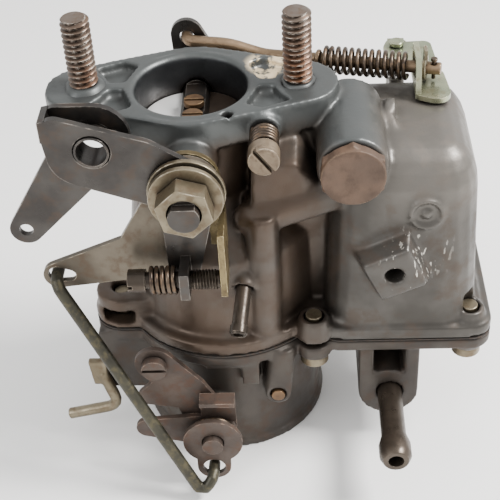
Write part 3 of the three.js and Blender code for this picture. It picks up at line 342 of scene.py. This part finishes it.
# Finishes of single pieces that differ from the rest of their slot.
SPECIAL = {
    # The throttle plate's finish carries a painted reflection on its left half and painted shade on its
    # right.
    "throttle_plate": worn_metal(
        "plate_painted_reflection", base=srgb(74, 62, 52), tint=srgb(58, 48, 41),
        stain=srgb(60, 46, 37), bright=srgb(230, 226, 216), rough=(0.3, 0.4),
        metallic=0.55, patch=60, stains=0.3, wear=0.5, dirt_and_shade=0.2, grain=0.1, more=painted_plate_reflection,
    ),
    "main_jet_plug": worn_metal(
        "plug_brown", base=srgb(92, 70, 54), tint=srgb(74, 56, 43),
        stain=srgb(58, 44, 35), bright=srgb(208, 180, 146), rough=(0.5, 0.64),
        metallic=0.25, patch=60, stains=0.4, wear=1.0, dirt_and_shade=0.6, grain=0.5,
    ),
    "fuel_inlet_pipe": worn_metal(
        "pipe_brown", base=srgb(78, 69, 60), tint=srgb(58, 51, 44),
        stain=srgb(56, 45, 37), bright=srgb(176, 162, 146), rough=(0.26, 0.42),
        metallic=0.7, patch=70, stains=0.45, wear=0.6, dirt_and_shade=0.5, grain=0.2,
    ),
    "mixture_screw": worn_metal(
        "screw_khaki", base=srgb(134, 118, 98), tint=srgb(104, 90, 74),
        stain=srgb(70, 54, 42), bright=srgb(226, 214, 192), rough=(0.34, 0.5),
        metallic=0.6, patch=110, stains=0.5, wear=0.9, dirt_and_shade=0.7, grain=0.25,
    ),
    "fast_idle_lever": worn_metal(
        "lever_olive", base=srgb(98, 90, 78), tint=srgb(78, 71, 61),
        stain=srgb(84, 66, 50), bright=srgb(198, 188, 168), rough=(0.32, 0.5),
        metallic=0.65, patch=60, stains=0.5, wear=0.9, dirt_and_shade=0.6, grain=0.25,
    ),
    "idle_stop_plate": worn_metal(
        "stop_olive", base=srgb(124, 110, 78), tint=srgb(92, 80, 56),
        stain=srgb(74, 58, 42), bright=srgb(222, 206, 160), rough=(0.28, 0.44),
        metallic=0.75, patch=120, stains=0.6, wear=0.9, dirt_and_shade=0.6, grain=0.25,
    ),
}
RUSTY = worn_metal(
    "rusty_steel", base=srgb(78, 66, 58), tint=srgb(60, 50, 44),
    stain=srgb(84, 60, 46), bright=srgb(168, 150, 136), rough=(0.45, 0.62),
    metallic=0.45, patch=70, stains=0.6, wear=0.6, dirt_and_shade=0.7, grain=0.45,
)
for rusty_node in ("choke_lever", "choke_shaft", "cable_bracket", "cable_clamp_screw"):
    SPECIAL[rusty_node] = RUSTY
for brown_node in ("idle_screw", "vacuum_nipple"):
    SPECIAL[brown_node] = SPECIAL["fuel_inlet_pipe"]


# ---------- pieces ----------
REPLACED = set()  # CAD nodes that a piece stands in for


def finish_of(node):
    return SPECIAL.get(node, MATERIALS[SLOT_OF[node]])


def attach(obj, node):
    """obj is a detail on a CAD node: it rides on the node's body and takes the node's finish."""
    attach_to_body(obj, BODY_OF[node])
    obj.data.materials.clear()
    obj.data.materials.append(finish_of(node))


def adopt(obj, node):
    """obj stands in place of a CAD node."""
    attach(obj, node)
    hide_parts(node)
    REPLACED.add(node)
    return obj


def new_object(name, mesh, sharp=None):
    """A smooth-shaded object; with sharp, edges above that many degrees stay crisp."""
    obj = bpy.data.objects.new(name, mesh)
    bpy.context.scene.collection.objects.link(obj)
    for face in mesh.polygons:
        face.use_smooth = True
    if sharp:
        mesh.set_sharp_from_angle(angle=math.radians(sharp))
    return obj


def settle(obj):
    """Turns the modifiers' result into the object's own mesh."""
    graph = bpy.context.evaluated_depsgraph_get()
    mesh = bpy.data.meshes.new_from_object(obj.evaluated_get(graph))
    obj.modifiers.clear()
    obj.data = mesh
    for face in mesh.polygons:
        face.use_smooth = True


def softened(node, voxel, passes):
    """A copy of a node with a fine even skin and rounded edges and corners, as cast or bent metal has."""
    obj = new_object(node + "_skin", NODES[node].data.copy())
    skin = obj.modifiers.new("skin", "REMESH")
    skin.mode = "VOXEL"
    skin.voxel_size = voxel * MM
    ease = obj.modifiers.new("ease", "SMOOTH")
    ease.factor = 0.5
    ease.iterations = passes
    settle(obj)
    return adopt(obj, node)


def edged(node, width=0.25, segments=2):
    """A copy of a node with narrow rounded edges, as machined and stamped pieces have."""
    mesh = NODES[node].data.copy()
    bm = bmesh.new()
    bm.from_mesh(mesh)
    bmesh.ops.remove_doubles(bm, verts=bm.verts, dist=1e-6)
    bmesh.ops.dissolve_limit(bm, angle_limit=math.radians(0.8), verts=bm.verts, edges=bm.edges)
    bm.to_mesh(mesh)
    bm.free()
    obj = new_object(node + "_edged", mesh)
    rounding = obj.modifiers.new("rounding", "BEVEL")
    rounding.width = width * MM
    rounding.segments = segments
    rounding.limit_method = "ANGLE"
    rounding.angle_limit = math.radians(34)
    rounding.use_clamp_overlap = True
    rounding.harden_normals = False
    settle(obj)
    normals = obj.modifiers.new("normals", "WEIGHTED_NORMAL")
    normals.keep_sharp = True
    settle(obj)
    return adopt(obj, node)


def upright(direction):
    return Vector((0, 0, 1)).rotation_difference(direction).to_matrix().to_4x4()


def revolved(name, start, end, rows, columns, radius_at):
    """A closed skin round the line from start to end, whose radius is radius_at(distance, angle)."""
    length = (end - start).length
    bm = bmesh.new()
    rings = []
    for i in range(rows + 1):
        z = length * i / rows
        ring = []
        for k in range(columns):
            angle = 2 * math.pi * k / columns
            r = radius_at(z, angle)
            ring.append(bm.verts.new((r * math.cos(angle), r * math.sin(angle), z)))
        rings.append(ring)
    for low, high in zip(rings, rings[1:]):
        for k in range(columns):
            n = (k + 1) % columns
            bm.faces.new((low[k], low[n], high[n], high[k]))
    bm.faces.new(list(reversed(rings[0])))
    bm.faces.new(rings[-1])
    mesh = bpy.data.meshes.new(name)
    bm.to_mesh(mesh)
    bm.free()
    mesh.transform(Matrix.Translation(start) @ upright(end - start))
    return new_object(name, mesh, sharp=38)


def threaded(name, start, end, radius, pitch, bevel, columns=40):
    """A rod with a helical thread between two points, its ends chamfered."""
    length = (end - start).length
    depth = 0.58 * pitch
    rows = round(length / pitch * 9)

    def radius_at(z, angle):
        phase = (z / pitch - angle / (2 * math.pi)) % 1.0
        crest = min(max(abs(phase - 0.5) * 2.6 - 0.18, 0.0), 1.0)
        to_end = min(z, length - z)
        limit = radius - bevel + min(to_end, bevel)
        return min(radius - depth * crest, limit)

    return revolved(name, start, end, rows, columns, radius_at)


def helix(name, start, end, radius, wire, turns, flat_turns=0.9, per_turn=26, around=10):
    """A coil spring of round wire from start to end, closed at both ends."""
    length = (end - start).length - 2 * wire
    steps = round(turns * per_turn)
    path = []
    for i in range(steps + 1):
        turn = turns * i / steps
        share = min(max((turn - flat_turns) / (turns - 2 * flat_turns), 0), 1)
        closed = min(turn, flat_turns) + min(flat_turns, max(turn - (turns - flat_turns), 0))
        z = wire + closed * 2 * wire + share * (length - 4 * wire * flat_turns)
        angle = 2 * math.pi * turn
        path.append(Vector((radius * math.cos(angle), radius * math.sin(angle), z)))
    mesh = tube_mesh(name, path, wire, around)
    mesh.transform(Matrix.Translation(start) @ upright(end - start))
    return new_object(name, mesh)


def tube_mesh(name, path, radius, around=12):
    """A closed round tube along points, its section carried along without twist."""
    bm = bmesh.new()
    rings = []
    normal = None
    for i, point in enumerate(path):
        ahead = (path[min(i + 1, len(path) - 1)] - path[max(i - 1, 0)]).normalized()
        if normal is None:
            normal = ahead.orthogonal().normalized()
        normal = (normal - ahead * normal.dot(ahead)).normalized()
        side = ahead.cross(normal)
        rings.append([
            bm.verts.new(point + radius * (math.cos(a) * normal + math.sin(a) * side))
            for a in (2 * math.pi * k / around for k in range(around))
        ])
    for low, high in zip(rings, rings[1:]):
        for k in range(around):
            n = (k + 1) % around
            bm.faces.new((low[k], low[n], high[n], high[k]))
    bm.faces.new(list(reversed(rings[0])))
    bm.faces.new(rings[-1])
    mesh = bpy.data.meshes.new(name)
    bm.to_mesh(mesh)
    bm.free()
    return mesh


def axis_of(node, along):
    """The centre line of a straight round node: the middles of its two ends, and its outer radius.

    along is 0, 1 or 2 for a centre line that runs mostly in x, y or z.
    """
    points = [v.co.copy() for v in NODES[node].data.vertices]
    halfway = (max(p[along] for p in points) + min(p[along] for p in points)) / 2
    ends = []
    for side in (-1, 1):
        group = [p for p in points if (p[along] - halfway) * side > 0]
        low = Vector([min(p[i] for p in group) for i in range(3)])
        high = Vector([max(p[i] for p in group) for i in range(3)])
        ends.append((low + high) / 2)
    direction = (ends[1] - ends[0]).normalized()
    radius = max((p - ends[0] - direction * (p - ends[0]).dot(direction)).length for p in points)
    return ends[0], ends[1], radius


def spring(node, along, wire, turns, joint=None):
    """A coil in the place of a node's sleeve.

    A joint, if there is one, only gives the coil a mesh of its own.
    """
    start, end, radius = axis_of(node, along)
    obj = adopt(helix(node + "_coil", start, end, radius - wire * MM, wire * MM, turns), node)
    if joint:
        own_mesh(obj)


# Castings: an even skin with soft corners.
softened("main_body", voxel=0.7, passes=4)
softened("air_horn_cover", voxel=0.6, passes=4)
softened("pump_cover", voxel=0.4, passes=4)
softened("main_jet_plug", voxel=0.3, passes=5)

# Bent rods: round bends without facets.
for rod_node in ("link_rod", "pump_rod", "stay_rod"):
    softened(rod_node, voxel=0.28, passes=10)


def rolled_stud(stud, pitch, bevel):
    """A stud threaded over its whole length; pitch and bevel are in millimetres."""
    low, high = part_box(stud)
    centre = middle(stud)
    start = Vector((centre.x, centre.y, low[2]))
    end = Vector((centre.x, centre.y, high[2]))
    radius = (high[0] - low[0]) / 2
    adopt(threaded(stud + "_thread", start, end, radius, pitch * MM, bevel * MM), stud)


for stud_node in STUDS:
    rolled_stud(stud_node, pitch=1.6, bevel=0.6)


def sealer(stud, height, spread):
    """A collar of sealer squeezed up round a stud where it leaves the flange, in millimetres."""
    centre = middle(stud)
    radius = (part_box(stud)[1][0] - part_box(stud)[0][0]) / 2
    foot = Vector((centre.x, centre.y, ORIGIN.z - 0.5 * MM))

    def radius_at(z, angle):
        ripple = 0.22 * math.sin(3 * angle + 1) + 0.16 * math.sin(5 * angle)
        fall = max(0.0, 1 - z / (height * MM))
        return radius + (spread + ripple) * MM * fall ** 0.6

    top = foot + Vector((0, 0, height * MM))
    attach(revolved(stud + "_sealer", foot, top, 8, 40, radius_at), "main_body")


sealer("mount_stud_left", height=1.9, spread=1.9)
sealer("mount_stud_right", height=1.1, spread=0.9)


def idle_thread(radius, pitch, bevel):
    """The idle screw's fine thread, where it shows between its lug and its tip, in millimetres."""
    lug_end = at(-0.6, 0, 0).x
    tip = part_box("idle_screw")[1][0] - 0.4 * MM
    axis = middle("idle_screw")
    start = Vector((lug_end, axis.y, axis.z))
    end = Vector((tip, axis.y, axis.z))
    attach(threaded("idle_screw_thread", start, end, radius * MM, pitch * MM, bevel * MM), "idle_screw")


idle_thread(radius=2.75, pitch=0.8, bevel=0.3)

# Springs as coils in the places of their sleeves.
X, Y = 0, 1
spring("idle_screw_spring", X, wire=0.62, turns=5.2)
spring("mixture_spring", Y, wire=0.6, turns=5.6)
spring("choke_spring", Y, wire=0.55, turns=2.1)
spring("pump_spring", Y, wire=0.35, turns=3.2, joint="pump_button_slide")
spring("pump_rod_spring", X, wire=0.6, turns=13, joint="throttle_turn")

# Every other piece keeps its shape and gets narrow rounded edges.
for node_name in sorted(NODES):
    if node_name not in REPLACED:
        edged(node_name)

# ---------- stage ----------
PITCH, YAW, ROLL = 0.683525, 0.0620843, -0.0624124
CAMERA_PLACE = at(29.4, -263.7, 157.5)
SENSOR = 36.0
FOCAL_LENGTH = SENSOR * 1146.33 / 500


def build_camera():
    forward = Vector((-math.sin(YAW) * math.cos(PITCH), math.cos(YAW) * math.cos(PITCH), -math.sin(PITCH)))
    right = Vector((math.cos(YAW), math.sin(YAW), 0))
    up = right.cross(forward)
    turned_right = math.cos(ROLL) * right + math.sin(ROLL) * up
    turned_up = -math.sin(ROLL) * right + math.cos(ROLL) * up
    data = bpy.data.cameras.new("camera")
    data.sensor_width = SENSOR
    data.lens = FOCAL_LENGTH
    data.clip_start = 0.01
    camera = bpy.data.objects.new("camera", data)
    bpy.context.scene.collection.objects.link(camera)
    turn = Matrix((turned_right, turned_up, -forward)).transposed().to_4x4()
    camera.matrix_world = Matrix.Translation(CAMERA_PLACE) @ turn
    bpy.context.scene.camera = camera


def build_floor():
    mesh = bpy.data.meshes.new("floor")
    half = 3.0
    mesh.from_pydata([(-half, -half, 0), (half, -half, 0), (half, half, 0), (-half, half, 0)], [],
                     [(0, 1, 2, 3)])
    floor = new_object("floor", mesh)
    g = Graph("pale_floor")
    tone = g.ramp(g.noise(3, 2), 0.3, 0.7, 0.0, 0.3)
    g.feed(g.shader.inputs["Base Color"], g.mix(tone, srgb(246, 245, 243), srgb(240, 239, 236)))
    g.shader.inputs["Roughness"].default_value = 0.75
    floor.data.materials.append(g.material)


def area_light(name, place, size, power, colour):
    data = bpy.data.lights.new(name, "AREA")
    data.shape = "DISK"
    data.size = size
    data.energy = power
    data.color = colour
    lamp = bpy.data.objects.new(name, data)
    bpy.context.scene.collection.objects.link(lamp)
    place = Vector(place)
    aim = at(15, 0, -50)
    lamp.location = place
    lamp.rotation_euler = (aim - place).to_track_quat("-Z", "Y").to_euler()


def build_light():
    world = bpy.data.worlds.new("studio")
    bpy.context.scene.world = world
    world.use_nodes = True
    background = world.node_tree.nodes["Background"]
    background.inputs["Color"].default_value = (1.0, 1.0, 1.0, 1.0)
    background.inputs["Strength"].default_value = 1.3
    area_light("key", place=(0.42, -0.02, 0.5), size=0.22, power=9.0, colour=(1.0, 0.99, 0.98))
    area_light("fill", place=(-0.55, -0.45, 0.5), size=0.5, power=3.0, colour=(0.97, 0.98, 1.0))


build_camera()
build_floor()
build_light()
